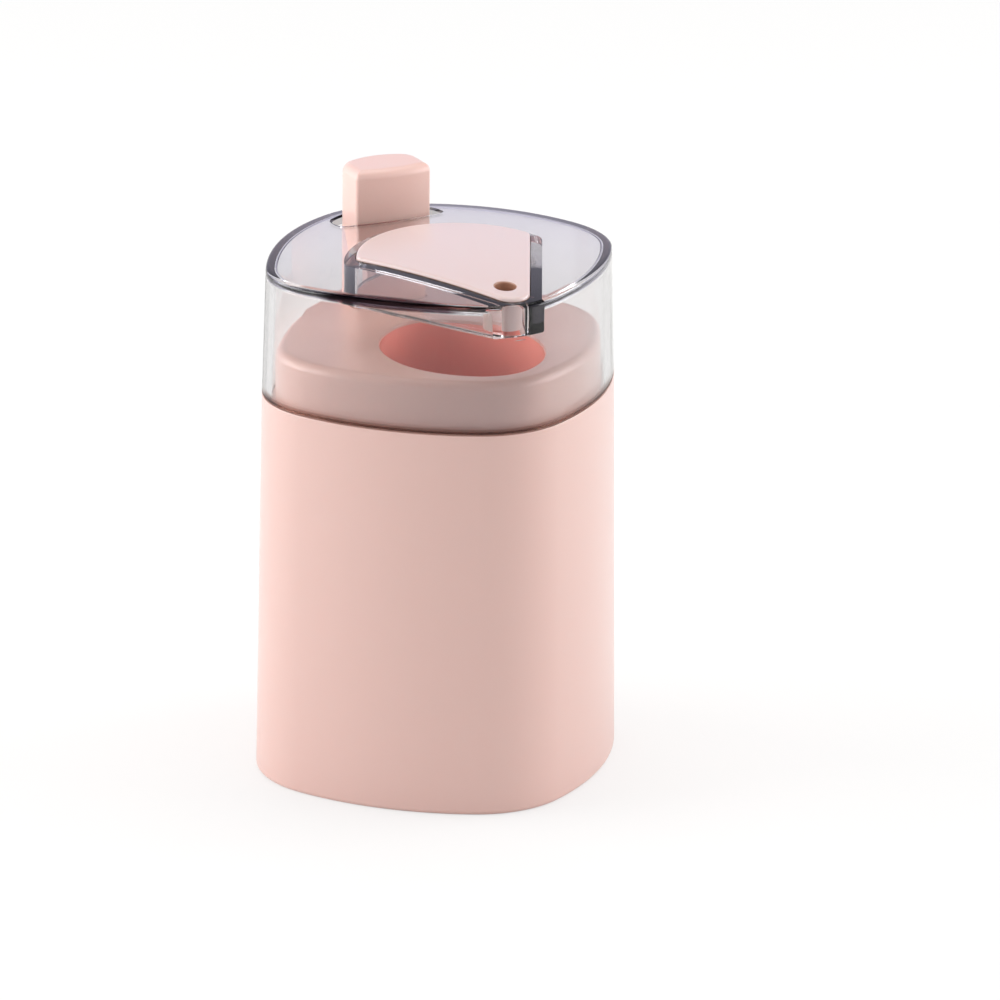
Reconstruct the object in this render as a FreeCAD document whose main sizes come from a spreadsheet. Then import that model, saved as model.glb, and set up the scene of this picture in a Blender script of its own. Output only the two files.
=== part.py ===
# Push-button toothpick dispenser: a bowed square body with a clear lift-off lid.
# Pressing the corner button rocks a lever, whose other end lifts one toothpick
# through the outlet in the opposite corner of the lid.
#
# Every piece is drawn in one layout frame: X runs along the diagonal from the
# axis towards the outlet corner, Y across the diagonal, Z up from the table.
# Each piece is then turned by the same placement so that the flat sides of the
# body face along the row axes.
import FreeCAD, Part
import math
import os
import Sketcher

os.makedirs("parts", exist_ok=True)
doc = FreeCAD.newDocument("ToothpickDispenser")
Vector = FreeCAD.Vector
Z_AXIS = Vector(0, 0, 1)
Y_AXIS = Vector(0, 1, 0)

# ---------------------------------------------------------------- driving sizes
SIZES = [
    # body
    ("foot_half_width", 27.5, "half the width across the flats at the foot"),
    ("side_bow_centre", 20.0, "how far beyond the axis each bowed side is struck from"),
    ("corner_radius", 16.2, "corner radius at the foot"),
    ("seam_height", 62.2, "top of the shoulder the lid stands above"),
    ("body_draft", 0.85, "draft of the body sides, degrees"),
    ("body_wall", 1.8, "wall of the body"),
    ("foot_edge_radius", 0.8, "rounding of the bottom edge"),
    ("shoulder_thickness", 1.8, "thickness of the shoulder under the lid"),
    ("neck_height", 8.0, "height of the deck above the shoulder"),
    ("neck_wall", 1.6, "wall of the neck inside the lid"),
    ("neck_edge_radius", 1.4, "rounding where the neck meets the deck"),
    ("deck_thickness", 1.8, "thickness of the deck"),
    ("deck_lip", 0.5, "thickness of the deck left over the magazine's rim"),
    ("collar_depth", 5.0, "how far the button's guide reaches under the deck"),
    ("collar_wall", 1.2, "wall of the button's guide"),
    # base plate
    ("base_recess", 0.6, "how far the base plate sits above the table"),
    ("base_thickness", 1.8, "thickness of the base plate"),
    ("base_rim_height", 3.6, "height of the snap rim above the base plate"),
    ("base_rim_wall", 1.2, "wall of the snap rim"),
    ("base_fit", 0.08, "gap between the snap rim and the body wall"),
    # lid
    ("lid_height", 20.8, "height of the lid's rim above the shoulder, at the middle of a side"),
    ("lid_crown", 1.8, "how far the lid's top is crowned above its rim"),
    ("lid_draft", 1.7, "draft of the lid sides, degrees"),
    ("lid_wall", 1.5, "wall of the lid"),
    ("lid_panel", 1.4, "thickness of the lid's crowned top"),
    ("lid_ceiling_flat", 0.3, "flat left between the crowned ceiling and the lid wall"),
    ("rim_radius", 0.7, "rounding of the lid's rim"),
    ("seam_gap", 0.25, "shadow gap between lid and shoulder"),
    ("lid_fit", 0.4, "gap between the lid wall and the neck"),
    # toothpick magazine
    ("magazine_wall", 1.2, "wall of the magazine"),
    ("magazine_gap", 0.72, "gap between the magazine and the neck's corner"),
    ("magazine_fit", 0.1, "gap round the magazine's rim where the deck takes it in"),
    ("magazine_setback", 5.7, "gap between the magazine and the button's guide"),
    ("store_width_share", 0.834, "half width of the magazine's oval over its half length"),
    ("store_end_share", 0.596, "end radius of the oval over its half length"),
    ("store_floor", 16.8, "height of the floor the toothpicks stand on"),
    ("store_floor_thickness", 2.0, "thickness of that floor"),
    ("tunnel_half_width", 7.0, "half width of the lever's tunnel under the floor"),
    # outlet plate and the well under it
    ("toothpick_radius", 1.0, "radius of the toothpicks the dispenser is made for"),
    ("outlet_radius", 1.65, "radius of the outlet hole"),
    ("outlet_mouth_radius", 2.1, "radius of the flared mouth under the outlet"),
    ("outlet_mouth_depth", 1.0, "depth of that flare"),
    ("boss_radius", 2.8, "outer radius of the guide boss under the outlet"),
    ("boss_reach", 5.2, "how far below the lid's rim the guide boss ends"),
    ("tip_lead", 1.5, "centre of the outlet plate's tip arc beyond the outlet"),
    ("tip_radius", 3.1, "radius of the outlet plate's tip"),
    ("fan_radius_share", 0.5964, "radius of the plate's back arc over the foot's half width"),
    ("fan_length_share", 0.589, "distance between its tip and back centres over the same"),
    ("fan_half_angle", 27.3, "half angle between the outlet plate's sides, degrees"),
    ("fan_corner_radius", 1.5, "rounding of the outlet plate's wide corners"),
    ("plate_thickness", 1.4, "thickness of the outlet plate"),
    ("plate_proud", 0.55, "how far the outlet plate stands above the lid"),
    ("plate_fit", 0.06, "gap round the outlet plate in its seat"),
    ("plate_edge_radius", 0.45, "rounding of the outlet plate's top edge"),
    ("plate_ledge", 0.5, "width of the ledge the outlet plate sits on"),
    ("well_wall", 2.3, "wall of the clear well under the outlet plate"),
    ("well_depth", 5.6, "how far below the lid's rim the well ends"),
    # button
    ("post_margin", 0.62, "flat of the deck left behind the button's passage"),
    ("post_depth", 9.4, "front to back size of the button"),
    ("post_half_width", 6.5, "half width of the button across the diagonal"),
    ("post_front_arc", 21.0, "radius of the button's bowed front"),
    ("post_front_corner", 0.7, "rounding of the button's front corners"),
    ("post_back_corner", 3.2, "rounding of the button's back corners"),
    ("post_proud", 9.45, "how far the button stands above the lid's rim at rest"),
    ("post_top_radius", 1.4, "rounding of the button's top edge"),
    ("post_wall", 1.4, "wall of the hollow button"),
    ("post_roof", 1.6, "thickness of the button's top"),
    ("post_gap", 0.3, "running gap between the button and its guide"),
    ("slot_front_gap", 0.35, "gap in front of the button in the lid's slot"),
    ("slot_side_gap", 2.4, "gap at each end of the lid's slot"),
    ("slot_back_gap", 0.5, "gap behind the button in the lid's slot"),
    ("press_travel", 5.4, "travel of the button"),
    ("stop_length", 5.0, "length of each stop lug on the button"),
    ("stop_reach", 1.2, "how far each stop lug stands out"),
    ("stop_thickness", 1.5, "thickness of each stop lug"),
    ("stop_gap", 0.2, "gap between stop lugs and guide at rest"),
    ("rib_thickness", 1.2, "thickness of the ribs inside the button"),
    # rocker lever and its pin
    ("pivot_offset", 0.6, "lever pin from the axis, towards the outlet"),
    ("pivot_height", 8.2, "height of the lever pin"),
    ("lever_height", 2.6, "height of the lever bar"),
    ("lever_width", 5.0, "width of the lever bar"),
    ("lever_end_radius", 2.0, "rounding of the lever's ends in plan"),
    ("lever_hub_radius", 2.5, "radius of the lever's hub"),
    ("lever_overhang", 1.3, "how far each end of the lever runs past its contact"),
    ("pin_radius", 1.0, "radius of the lever pin"),
    ("pin_fit", 0.05, "radial running clearance of the lever on its pin"),
    ("lug_gap", 0.5, "gap between the lever and each bearing lug"),
    ("lug_thickness", 2.4, "thickness of each bearing lug"),
    ("lug_half_length", 3.2, "half length of each bearing lug"),
    ("lug_cap", 2.2, "height of the lugs above the pin's centre"),
    ("contact_gap", 0.3, "gap at the lever's two contacts at rest"),
    # lifter
    ("lifter_radius", 0.9, "radius of the lifter rod"),
    ("lifter_fit", 0.08, "radial clearance of the rod in the floor"),
    ("lifter_foot_radius", 2.0, "radius of the lifter's foot"),
    ("lifter_foot_height", 1.2, "height of the lifter's foot"),
    ("lifter_foot_rim", 0.7, "straight part of that height"),
    ("lifter_sink", 0.2, "how far the rod stands below the floor at rest"),
    # return spring
    ("spring_inset", 5.4, "spring axis behind the button's front"),
    ("spring_radius", 2.0, "mean radius of the spring"),
    ("spring_wire", 0.5, "wire diameter"),
    ("spring_top", 28.0, "upper seat of the spring"),
    ("spring_turns", 9.0, "turns of the spring"),
    ("spring_seat_gap", 0.05, "gap between the spring's ends and their seats"),
    ("spring_boss_radius", 1.4, "radius of the boss that centres the spring"),
    ("spring_boss_height", 5.0, "height of that boss"),
]
sheet = doc.addObject("Spreadsheet::Sheet", "Sizes")
for row, (alias, size, meaning) in enumerate(SIZES, start=1):
    sheet.set("A%d" % row, alias)
    sheet.set("B%d" % row, str(size))
    sheet.set("C%d" % row, meaning)
    sheet.setAlias("B%d" % row, alias)
doc.recompute()


def cells(formula):
    """Turn plain aliases in a formula into references to the sheet."""
    words = []
    word = ""
    for letter in formula + " ":
        if letter.isalnum() or letter == "_":
            word += letter
            continue
        words.append("Sizes." + word if word in ALIASES else word)
        words.append(letter)
        word = ""
    return "".join(words).strip()


def number(formula):
    """Value of a formula of the sheet's aliases."""
    result = sheet.evalExpression(cells(formula))
    return float(getattr(result, "Value", result))


ALIASES = {alias for alias, size, meaning in SIZES}

# ------------------------------------------------------- formulas of the layout
BODY_SLOPE = "tan(body_draft * 1deg)"
LID_SLOPE = "tan(lid_draft * 1deg)"
DECK = "(seam_height + neck_height)"
RIM = "(seam_height + lid_height)"
LID_FOOT = "(seam_height + seam_gap)"
LID_FOOT_HALF = "(foot_half_width - %s * %s)" % (LID_FOOT, BODY_SLOPE)
RIM_HALF = "(%s - (%s - %s) * %s)" % (LID_FOOT_HALF, RIM, LID_FOOT, LID_SLOPE)
NECK_HALF = "(%s - lid_wall - lid_fit - (%s - %s) * %s)" % (LID_FOOT_HALF, DECK, LID_FOOT, LID_SLOPE)
CORNER_CENTRE = ("((sqrt(8 * (foot_half_width + side_bow_centre - corner_radius)^2"
                 " - 4 * side_bow_centre^2) - 2 * side_bow_centre) / 4 * sqrt(2))")
NECK_CORNER = "(%s + %s - foot_half_width + corner_radius)" % (CORNER_CENTRE, NECK_HALF)
CROWN_RADIUS = "((%s^2 + lid_crown^2) / (2 * lid_crown))" % RIM_HALF
CROWN_CENTRE = "(%s + lid_crown - %s)" % (RIM, CROWN_RADIUS)
WELL_BOTTOM = "(%s - well_depth)" % RIM
BOSS_BOTTOM = "(%s - boss_reach)" % RIM
ABOVE_LID = "(%s + 3 * lid_crown)" % RIM
DECK_UNDERSIDE = "(%s - deck_thickness)" % DECK
COLLAR_BOTTOM = "(%s - collar_depth)" % DECK_UNDERSIDE
BASE_TOP = "(base_recess + base_thickness)"
STORE_UNDERSIDE = "(store_floor - store_floor_thickness)"
# places along the diagonal, measured from the axis: the button's towards its own corner
POST_BACK = "(%s - neck_edge_radius - post_gap - post_margin)" % NECK_CORNER
POST_FRONT = "(%s - post_depth)" % POST_BACK
POST_TOP = "(%s + post_proud)" % RIM
SPRING_AXIS = "(%s + spring_inset)" % POST_FRONT
STORE_FRONT = "(%s - neck_wall - magazine_gap - magazine_wall)" % NECK_CORNER
STORE_BACK = "(%s - post_gap - collar_wall - magazine_setback - magazine_wall)" % POST_FRONT
STORE_MIDDLE = "((%s - %s) / 2)" % (STORE_FRONT, STORE_BACK)
STORE_HALF_LENGTH = "((%s + %s) / 2)" % (STORE_FRONT, STORE_BACK)
STORE_HALF_WIDTH = "(%s * store_width_share)" % STORE_HALF_LENGTH
STORE_END_RADIUS = "(%s * store_end_share)" % STORE_HALF_LENGTH
OUTLET = "(%s - toothpick_radius)" % STORE_FRONT
TIP_CENTRE = "(%s + tip_lead)" % OUTLET
FAN_CENTRE = "(%s - fan_length_share * foot_half_width)" % TIP_CENTRE
FAN_RADIUS = "(fan_radius_share * foot_half_width)"
# the button's front wall bears on the lever's inner arm, the lifter on its outer arm
INNER_ARM = "(pivot_offset + %s + post_wall / 2)" % POST_FRONT
OUTER_ARM = "(%s - pivot_offset)" % OUTLET
LEVER_TILT = "atan(press_travel / 2 / %s)" % INNER_ARM
LEVER_SKIN = "(lever_height / 2 / cos(%s))" % LEVER_TILT
BUTTON_FOOT = "(pivot_height + press_travel / 2 + %s + contact_gap)" % LEVER_SKIN
LIFTER_FOOT = ("(pivot_height - press_travel / 2 * %s / %s + %s + contact_gap)"
               % (OUTER_ARM, INNER_ARM, LEVER_SKIN))
FAR = 40.0      # past every outline: how far the crown cutters reach
LAYOUT = FreeCAD.Placement(Vector(0, 0, 0), FreeCAD.Rotation(Z_AXIS, -45))


# --------------------------------------------------------------- sketch helpers
def origin_plane(body, role):
    for feature in body.Origin.OriginFeatures:
        if feature.Role == role:
            return feature
    raise ValueError(role)


def new_body(name):
    body = doc.addObject("PartDesign::Body", name)
    body.Label = name
    body.Placement = LAYOUT
    return body


def new_sketch(body, name, plane="XY_Plane", height=None, along=None):
    """Sketch on an origin plane, raised to a height or shifted along X."""
    sketch = body.newObject("Sketcher::SketchObject", name)
    sketch.AttachmentSupport = [(origin_plane(body, plane), "")]
    sketch.MapMode = "FlatFace"
    if height is not None:
        sketch.setExpression("AttachmentOffset.Base.z", cells(height))
    if along is not None:
        sketch.setExpression("AttachmentOffset.Base.x", cells(along))
    return sketch


def bind(sketch, kind, *refs_and_formula):
    """Add a dimension whose value is a formula of the sheet."""
    formula = refs_and_formula[-1]
    value = number(formula)
    if kind == "Angle":
        value = math.radians(value)
    index = sketch.addConstraint(Sketcher.Constraint(kind, *refs_and_formula[:-1], value))
    sketch.setExpression("Constraints[%d]" % index, cells(formula))


def arc(x, y, radius, start, end):
    circle = Part.Circle(Vector(x, y, 0), Z_AXIS, radius)
    return Part.ArcOfCircle(circle, start, end)


def line(x0, y0, x1, y1):
    return Part.LineSegment(Vector(x0, y0, 0), Vector(x1, y1, 0))


def loop(sketch, pieces, joint):
    """Add lines and arcs in order and join each end to the next start."""
    ids = [sketch.addGeometry(piece, False) for piece in pieces]
    for here, after in zip(ids, ids[1:] + ids[:1]):
        sketch.addConstraint(Sketcher.Constraint(joint, here, 2, after, 1))
    return ids


def centre_on_axis(sketch, arc_id, along):
    """Put an arc's centre on the sketch's X axis; along may be negative."""
    sketch.addConstraint(Sketcher.Constraint("PointOnObject", arc_id, 3, -1))
    if number(along) > 0:
        bind(sketch, "DistanceX", -1, 1, arc_id, 3, along)
    else:
        bind(sketch, "DistanceX", arc_id, 3, -1, 1, "-(%s)" % along)


def rounded_square(sketch, half):
    """Bowed square: four side arcs and four corner arcs, all concentric outlines."""
    bow = number("side_bow_centre")
    centre = number(CORNER_CENTRE)
    side_radius = number("%s + side_bow_centre" % half)
    corner = number("%s - foot_half_width + corner_radius" % half)
    spread = math.atan2(centre / math.sqrt(2), centre / math.sqrt(2) + bow)
    pieces = []
    for side in range(4):
        facing = math.radians(90 * side - 45)
        to_corner = facing + math.pi / 4
        pieces.append(arc(-bow * math.cos(facing), -bow * math.sin(facing), side_radius,
                          facing - spread, facing + spread))
        pieces.append(arc(centre * math.cos(to_corner), centre * math.sin(to_corner), corner,
                          facing + spread, facing + math.pi / 2 - spread))
    ids = loop(sketch, pieces, "Tangent")
    for side in range(4):
        side_id = ids[2 * side]
        facing = math.radians(90 * side - 45)
        bind(sketch, "Radius", side_id, "%s + side_bow_centre" % half)
        for kind, part in (("DistanceX", math.cos(facing)), ("DistanceY", math.sin(facing))):
            if part > 0:
                bind(sketch, kind, side_id, 3, -1, 1, "side_bow_centre / sqrt(2)")
            else:
                bind(sketch, kind, -1, 1, side_id, 3, "side_bow_centre / sqrt(2)")
        bind(sketch, "Radius", ids[2 * side + 1], "%s - foot_half_width + corner_radius" % half)


def oval(sketch, grow):
    """Four-arc oval of the magazine, grown outwards."""
    run_text = "(%s - %s)" % (STORE_HALF_LENGTH, STORE_END_RADIUS)
    rise_text = "(%s - %s)" % (STORE_HALF_WIDTH, STORE_END_RADIUS)
    drop_text = "(%s^2 - %s^2) / (2 * %s)" % (run_text, rise_text, rise_text)
    run = number(run_text)
    rise = number(rise_text)
    drop = number(drop_text)
    middle = number(STORE_MIDDLE)
    end_text = "%s + %s" % (STORE_END_RADIUS, grow)
    end = number(end_text)
    side = drop + number("%s + %s" % (STORE_HALF_WIDTH, grow))
    turn = math.atan2(drop, run)
    pieces = [
        arc(middle + run, 0, end, -turn, turn),
        arc(middle, -drop, side, turn, math.pi - turn),
        arc(middle - run, 0, end, math.pi - turn, math.pi + turn),
        arc(middle, drop, side, math.pi + turn, 2 * math.pi - turn),
    ]
    front, left, back, right = loop(sketch, pieces, "Tangent")
    bind(sketch, "Radius", front, end_text)
    centre_on_axis(sketch, front, "%s + %s" % (STORE_MIDDLE, run_text))
    centre_on_axis(sketch, back, "%s - %s" % (STORE_MIDDLE, run_text))
    bind(sketch, "DistanceX", -1, 1, left, 3, STORE_MIDDLE)
    bind(sketch, "DistanceY", left, 3, -1, 1, drop_text)
    bind(sketch, "DistanceY", -1, 1, right, 3, drop_text)


def fan(sketch, grow):
    """Outline of the outlet plate, grown outwards: a tip arc, sides and a back arc."""
    lean = math.radians(number("fan_half_angle"))
    tip_x = number(TIP_CENTRE)
    back_x = number(FAN_CENTRE)
    corner_run = number("%s - fan_corner_radius" % FAN_RADIUS)
    reach = math.sin(lean) * (tip_x - back_x) + number("tip_radius - fan_corner_radius")
    swing = math.pi - math.asin(reach / corner_run) - lean
    tip = number("tip_radius + %s" % grow)
    back = number("%s + %s" % (FAN_RADIUS, grow))
    corner = number("fan_corner_radius + %s" % grow)
    corner_x = back_x + corner_run * math.cos(swing)
    corner_y = corner_run * math.sin(swing)
    normal = math.pi / 2 - lean
    tip_end = (tip_x + tip * math.cos(normal), tip * math.sin(normal))
    side_end = (corner_x + corner * math.cos(normal), corner_y + corner * math.sin(normal))
    pieces = [
        arc(tip_x, 0, tip, -normal, normal),
        line(tip_end[0], tip_end[1], side_end[0], side_end[1]),
        arc(corner_x, corner_y, corner, normal, swing),
        arc(back_x, 0, back, swing, 2 * math.pi - swing),
        arc(corner_x, -corner_y, corner, -swing, -normal),
        line(side_end[0], -side_end[1], tip_end[0], -tip_end[1]),
    ]
    nose, left, left_corner, rear, right_corner, right = loop(sketch, pieces, "Tangent")
    bind(sketch, "Radius", nose, "tip_radius + %s" % grow)
    centre_on_axis(sketch, nose, TIP_CENTRE)
    bind(sketch, "Radius", rear, "%s + %s" % (FAN_RADIUS, grow))
    centre_on_axis(sketch, rear, FAN_CENTRE)
    bind(sketch, "Radius", left_corner, "fan_corner_radius + %s" % grow)
    bind(sketch, "Radius", right_corner, "fan_corner_radius + %s" % grow)
    bind(sketch, "Angle", left, "180 - fan_half_angle")
    bind(sketch, "Angle", right, "fan_half_angle")


def post_outline(sketch, front="0", side="0", back="0"):
    """Outline of the button, grown by a front, a side and a back allowance."""
    width_text = "post_half_width + %s" % side
    bow_text = "post_front_arc + %s" % front
    bow_x_text = "-(%s + post_front_arc)" % POST_FRONT
    rear_text = "%s - %s + %s" % (POST_BACK, CORNER_CENTRE, back)
    front_corner_text = "max(post_front_corner + %s; 0.2)" % front
    back_corner_text = "post_back_corner + %s" % back
    width = number(width_text)
    bow = number(bow_text)
    bow_x = number(bow_x_text)
    rear = number(rear_text)
    rear_x = -number(CORNER_CENTRE)
    front_corner = number(front_corner_text)
    back_corner = number(back_corner_text)
    front_turn = math.asin((width - front_corner) / (bow - front_corner))
    front_x = bow_x + (bow - front_corner) * math.cos(front_turn)
    back_turn = math.asin((width - back_corner) / (rear - back_corner))
    back_x = rear_x - (rear - back_corner) * math.cos(back_turn)
    quarter = math.pi / 2
    pieces = [
        arc(bow_x, 0, bow, -front_turn, front_turn),
        arc(front_x, width - front_corner, front_corner, front_turn, quarter),
        line(front_x, width, back_x, width),
        arc(back_x, width - back_corner, back_corner, quarter, math.pi - back_turn),
        arc(rear_x, 0, rear, math.pi - back_turn, math.pi + back_turn),
        arc(back_x, back_corner - width, back_corner, math.pi + back_turn, 3 * quarter),
        line(back_x, -width, front_x, -width),
        arc(front_x, front_corner - width, front_corner, 3 * quarter, 4 * quarter - front_turn),
    ]
    ids = loop(sketch, pieces, "Tangent")
    bind(sketch, "Radius", ids[0], bow_text)
    centre_on_axis(sketch, ids[0], bow_x_text)
    bind(sketch, "Radius", ids[4], rear_text)
    centre_on_axis(sketch, ids[4], "-%s" % CORNER_CENTRE)
    for corner_id, radius in ((ids[1], front_corner_text), (ids[7], front_corner_text),
                              (ids[3], back_corner_text), (ids[5], back_corner_text)):
        bind(sketch, "Radius", corner_id, radius)
    for side_id in (ids[2], ids[6]):
        sketch.addConstraint(Sketcher.Constraint("Horizontal", side_id))
    bind(sketch, "DistanceY", -1, 1, ids[2], 1, width_text)
    bind(sketch, "DistanceY", ids[6], 1, -1, 1, width_text)


def place_point(sketch, point_id, end, x, y):
    """Fix a point by two formulas, each of either sign."""
    for kind, formula in (("DistanceX", x), ("DistanceY", y)):
        value = number(formula)
        if abs(value) < 1e-9:
            sketch.addConstraint(Sketcher.Constraint("PointOnObject", point_id, end,
                                                     -2 if kind == "DistanceX" else -1))
        elif value > 0:
            bind(sketch, kind, -1, 1, point_id, end, formula)
        else:
            bind(sketch, kind, point_id, end, -1, 1, "-(%s)" % formula)


def rectangle(sketch, x0, x1, y0, y1):
    """Rectangle between two corners given as formulas."""
    left, right, low, high = (number(text) for text in (x0, x1, y0, y1))
    pieces = [line(left, low, right, low), line(right, low, right, high),
              line(right, high, left, high), line(left, high, left, low)]
    ids = loop(sketch, pieces, "Coincident")
    for index, kind in enumerate(("Horizontal", "Vertical", "Horizontal", "Vertical")):
        sketch.addConstraint(Sketcher.Constraint(kind, ids[index]))
    place_point(sketch, ids[0], 1, x0, y0)
    place_point(sketch, ids[2], 1, x1, y1)


def circle(sketch, x, y, radius):
    circle_id = sketch.addGeometry(Part.Circle(Vector(number(x), number(y), 0), Z_AXIS,
                                               number(radius)), False)
    bind(sketch, "Radius", circle_id, radius)
    place_point(sketch, circle_id, 3, x, y)


# -------------------------------------------------------------- feature helpers
def pad(body, sketch, length, draft=None, both_ways=False, down=False):
    feature = body.newObject("PartDesign::Pad", sketch.Name + "_pad")
    feature.Profile = sketch
    feature.setExpression("Length", cells(length))
    if draft:
        feature.setExpression("TaperAngle", cells("-%s" % draft))
    feature.Midplane = both_ways
    feature.Reversed = down
    doc.recompute()
    return feature


def pocket(body, sketch, length, draft=None, both_ways=False):
    """Cut upwards from the sketch, or both ways from it."""
    before = body.Shape.Volume
    feature = body.newObject("PartDesign::Pocket", sketch.Name + "_pocket")
    feature.Profile = sketch
    feature.setExpression("Length", cells(length))
    if draft:
        feature.setExpression("TaperAngle", cells("-%s" % draft))
    feature.Midplane = both_ways
    feature.Reversed = not both_ways
    doc.recompute()
    if not feature.Shape.Volume < before - 1e-3:
        raise RuntimeError("%s cuts nothing" % feature.Name)
    return feature


def fillet(body, radius, chosen):
    """Round the edges of the body's tip that chosen(edge) picks."""
    tip = body.Tip
    names = ["Edge%d" % (index + 1) for index, edge in enumerate(tip.Shape.Edges) if chosen(edge)]
    if not names:
        raise RuntimeError("no edge to round on %s" % body.Label)
    feature = body.newObject("PartDesign::Fillet", tip.Name + "_round")
    feature.Base = (tip, names)
    feature.setExpression("Radius", cells(radius))
    doc.recompute()
    return feature


def level_edge(height, slack=0.01):
    """Test for edges that lie at one height."""
    level = number(height)

    def test(edge):
        box = edge.BoundBox
        return abs(box.ZMin - level) < slack and abs(box.ZMax - level) < slack
    return test


def crown_cut(body, name, radius, keep_inside):
    """Cut away what lies above, or below, the crown's sphere of the given radius."""
    before = body.Shape.Volume
    sketch = new_sketch(body, name, "YZ_Plane")
    ball = number(radius)
    middle = number(CROWN_CENTRE)
    limit = middle + ball + FAR if keep_inside else middle + ball - FAR
    edge = math.acos(FAR / ball)
    skirt = middle + ball * math.sin(edge)
    pieces = [arc(0, middle, ball, edge, math.pi / 2), line(0, middle + ball, 0, limit),
              line(0, limit, FAR, limit), line(FAR, limit, FAR, skirt)]
    bowl_id, axis_id, level_id, outer_id = loop(sketch, pieces, "Coincident")
    join = Sketcher.Constraint
    sketch.addConstraint(join("Vertical", axis_id))
    sketch.addConstraint(join("Horizontal", level_id))
    sketch.addConstraint(join("Vertical", outer_id))
    sketch.addConstraint(join("PointOnObject", axis_id, 1, -2))
    sketch.addConstraint(join("DistanceX", -1, 1, outer_id, 1, FAR))
    sketch.addConstraint(join("DistanceY", -1, 1, axis_id, 2, limit))
    bind(sketch, "Radius", bowl_id, radius)
    place_point(sketch, bowl_id, 3, "0", CROWN_CENTRE)
    feature = body.newObject("PartDesign::Groove", name + "_groove")
    feature.Profile = sketch
    feature.ReferenceAxis = (sketch, ["V_Axis"])
    feature.Angle = 360
    doc.recompute()
    if not feature.Shape.Volume < before - 1e-3:
        raise RuntimeError("%s cuts nothing" % feature.Name)
    return feature


# ------------------------------------------------------------------- body shell
def build_body_shell():
    """Drafted shell, open at the foot, with the neck and the deck in one moulding."""
    body = new_body("body_shell")
    sketch = new_sketch(body, "foot_outline")
    rounded_square(sketch, "foot_half_width")
    pad(body, sketch, "seam_height", "body_draft")
    fillet(body, "foot_edge_radius", level_edge("0"))
    sketch = new_sketch(body, "neck_outline", height="seam_height - shoulder_thickness")
    rounded_square(sketch, NECK_HALF)
    pad(body, sketch, "neck_height + shoulder_thickness")
    fillet(body, "neck_edge_radius", level_edge(DECK))
    sketch = new_sketch(body, "main_hollow")
    rounded_square(sketch, "foot_half_width - body_wall")
    pocket(body, sketch, "seam_height - shoulder_thickness", "body_draft")
    sketch = new_sketch(body, "neck_hollow", height="seam_height - 2 * shoulder_thickness")
    rounded_square(sketch, "%s - neck_wall" % NECK_HALF)
    pocket(body, sketch, "%s - seam_height + 2 * shoulder_thickness" % DECK_UNDERSIDE)
    sketch = new_sketch(body, "guide_collar", height=COLLAR_BOTTOM)
    around = "(post_gap + collar_wall)"
    post_outline(sketch, around, around, around)
    pad(body, sketch, "collar_depth + deck_thickness / 2")
    sketch = new_sketch(body, "button_passage", height="%s - collar_depth" % COLLAR_BOTTOM)
    post_outline(sketch, "post_gap", "post_gap", "post_gap")
    pocket(body, sketch, "3 * collar_depth + deck_thickness")
    sketch = new_sketch(body, "magazine_rebate", height="%s - deck_thickness" % DECK_UNDERSIDE)
    oval(sketch, "(magazine_wall + magazine_fit)")
    pocket(body, sketch, "2 * deck_thickness - deck_lip")
    sketch = new_sketch(body, "store_opening", height="%s - deck_thickness" % DECK_UNDERSIDE)
    oval(sketch, "0")
    pocket(body, sketch, "3 * deck_thickness")
    return body


# ------------------------------------------------------------------- base plate
def build_base_plate():
    """Snap-in bottom with the lever's bearing lugs and the spring's boss."""
    body = new_body("base_plate")
    outer = "(foot_half_width - body_wall - base_fit - base_recess * %s)" % BODY_SLOPE
    sketch = new_sketch(body, "base_outline", height="base_recess")
    rounded_square(sketch, outer)
    pad(body, sketch, "base_thickness + base_rim_height", "body_draft")
    sketch = new_sketch(body, "tray_hollow", height=BASE_TOP)
    rounded_square(sketch, "%s - base_rim_wall - base_thickness * %s" % (outer, BODY_SLOPE))
    pocket(body, sketch, "2 * base_rim_height", "body_draft")
    sketch = new_sketch(body, "bearing_lugs", height=BASE_TOP)
    near = "lever_width / 2 + lug_gap"
    left = "pivot_offset - lug_half_length"
    right = "pivot_offset + lug_half_length"
    rectangle(sketch, left, right, near, "%s + lug_thickness" % near)
    rectangle(sketch, left, right, "-(%s + lug_thickness)" % near, "-(%s)" % near)
    pad(body, sketch, "pivot_height + lug_cap - %s" % BASE_TOP)
    sketch = new_sketch(body, "pin_holes", "XZ_Plane")
    circle(sketch, "pivot_offset", "pivot_height", "pin_radius")
    pocket(body, sketch, "lever_width + 2 * lug_gap + 3 * lug_thickness", both_ways=True)
    sketch = new_sketch(body, "spring_boss", height=BASE_TOP)
    circle(sketch, "-%s" % SPRING_AXIS, "0", "spring_boss_radius")
    pad(body, sketch, "spring_boss_height")
    return body


# --------------------------------------------------------------------- magazine
def build_magazine():
    """Oval tube the toothpicks stand in; its sides stand on the base plate."""
    body = new_body("toothpick_magazine")
    sketch = new_sketch(body, "magazine_outline", height=BASE_TOP)
    oval(sketch, "magazine_wall")
    pad(body, sketch, "%s - deck_lip - %s" % (DECK, BASE_TOP))
    sketch = new_sketch(body, "store_hollow", height="store_floor")
    oval(sketch, "0")
    pocket(body, sketch, "%s - store_floor" % DECK)
    sketch = new_sketch(body, "under_hollow")
    oval(sketch, "0")
    pocket(body, sketch, STORE_UNDERSIDE)
    sketch = new_sketch(body, "lever_tunnel")
    rectangle(sketch, "-2 * %s" % STORE_HALF_LENGTH, "3 * %s" % STORE_HALF_LENGTH,
              "-tunnel_half_width", "tunnel_half_width")
    pocket(body, sketch, STORE_UNDERSIDE)
    sketch = new_sketch(body, "lifter_bore")
    circle(sketch, OUTLET, "0", "lifter_radius + lifter_fit")
    pocket(body, sketch, "store_floor + store_floor_thickness")
    return body


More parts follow.
